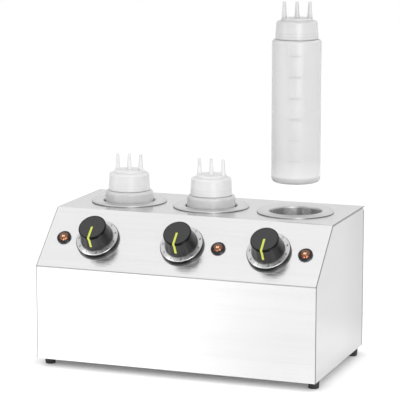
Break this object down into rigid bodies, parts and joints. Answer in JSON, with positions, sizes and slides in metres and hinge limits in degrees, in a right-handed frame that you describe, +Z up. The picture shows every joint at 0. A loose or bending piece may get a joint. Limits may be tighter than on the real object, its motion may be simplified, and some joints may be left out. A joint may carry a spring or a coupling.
{
  "type": "bottle topping warmer",
  "caption": "Countertop topping warmer with a sloped control panel, heated wells for squeeze bottles, turning thermostat knobs and pilot lamps.",
  "frame": {"origin": "on the counter, under the middle of the whole outline", "axes": "+Z up, -Y out of the front where the control panel faces, +X to the right as one looks at the panel"},
  "size_m": [0.415, 0.255, 0.5185],
  "materials": {
    "stainless": "brushed",
    "well_steel": "satin",
    "zinc": "satin",
    "copper": "satin",
    "black_plastic": "satin",
    "dial_silver": "satin",
    "lime": "gloss",
    "amber": "clear",
    "milky_bottle": "satin",
    "milky_cap": "satin",
    "rubber": "matte",
    "ceramic": "matte"
  },
  "bodies": {
    "housing": {"housing_wrap": "stainless", "left_side_panel": "stainless", "right_side_panel": "stainless", "back_panel": "stainless", "base_plate": "stainless", "foot_front_left": "rubber", "foot_front_right": "rubber", "foot_rear_left": "rubber", "foot_rear_right": "rubber", "foot_screws": "zinc", "foot_nuts": "zinc", "back_screws": "zinc", "well_pot_1": "well_steel", "heater_band_1": "zinc", "sensing_bulb_1": "copper", "thermostat_1": "ceramic", "dial_gasket_1": "black_plastic", "dial_ring_1": "dial_silver", "lamp_bezel_1": "black_plastic", "lamp_lens_1": "amber", "well_pot_2": "well_steel", "heater_band_2": "zinc", "sensing_bulb_2": "copper", "thermostat_2": "ceramic", "dial_gasket_2": "black_plastic", "dial_ring_2": "dial_silver", "lamp_bezel_2": "black_plastic", "lamp_lens_2": "amber", "well_pot_3": "well_steel", "heater_band_3": "zinc", "sensing_bulb_3": "copper", "thermostat_3": "ceramic", "dial_gasket_3": "black_plastic", "dial_ring_3": "dial_silver", "lamp_bezel_3": "black_plastic", "lamp_lens_3": "amber", "band_screws": "zinc", "bulb_pockets": "well_steel", "thermostat_screws": "zinc", "lamp_nuts": "zinc", "cable_gland": "black_plastic", "gland_nut": "black_plastic", "terminal_block": "ceramic", "earth_stud": "zinc"},
    "knob_unit_1": {"knob_1": "black_plastic", "pointer_1": "lime", "knob_shaft_1": "zinc"},
    "bottle_unit_1": {"bottle_1": "milky_bottle"},
    "cap_unit_1": {"cap_1": "milky_cap"},
    "knob_unit_2": {"knob_2": "black_plastic", "pointer_2": "lime", "knob_shaft_2": "zinc"},
    "bottle_unit_2": {"bottle_2": "milky_bottle"},
    "cap_unit_2": {"cap_2": "milky_cap"},
    "knob_unit_3": {"knob_3": "black_plastic", "pointer_3": "lime", "knob_shaft_3": "zinc"},
    "bottle_unit_3": {"bottle_3": "milky_bottle"},
    "cap_unit_3": {"cap_3": "milky_cap"}
  },
  "joints": [
    {"name": "knob_turn_1", "type": "hinge", "parent": "housing", "child": "knob_unit_1", "pos_m": [-0.1278, -0.09479, 0.18715], "axis": [0, 0.6807, -0.7325], "range_deg": [0, 270]},
    {"name": "bottle_lift_1", "type": "slide", "parent": "housing", "child": "bottle_unit_1", "axis": [0, 0, 1], "range_m": [0, 0.23]},
    {"name": "cap_off_1", "type": "slide", "parent": "bottle_unit_1", "child": "cap_unit_1", "axis": [0, 0, 1], "range_m": [0, 0.035]},
    {"name": "knob_turn_2", "type": "hinge", "parent": "housing", "child": "knob_unit_2", "pos_m": [0, -0.09479, 0.18715], "axis": [0, 0.6807, -0.7325], "range_deg": [0, 270]},
    {"name": "bottle_lift_2", "type": "slide", "parent": "housing", "child": "bottle_unit_2", "axis": [0, 0, 1], "range_m": [0, 0.23]},
    {"name": "cap_off_2", "type": "slide", "parent": "bottle_unit_2", "child": "cap_unit_2", "axis": [0, 0, 1], "range_m": [0, 0.035]},
    {"name": "knob_turn_3", "type": "hinge", "parent": "housing", "child": "knob_unit_3", "pos_m": [0.1278, -0.09479, 0.18715], "axis": [0, 0.6807, -0.7325], "range_deg": [0, 270]},
    {"name": "bottle_lift_3", "type": "slide", "parent": "housing", "child": "bottle_unit_3", "axis": [0, 0, 1], "range_m": [-0.23, 0]},
    {"name": "cap_off_3", "type": "slide", "parent": "bottle_unit_3", "child": "cap_unit_3", "axis": [0, 0, 1], "range_m": [0, 0.035]}
  ]
}
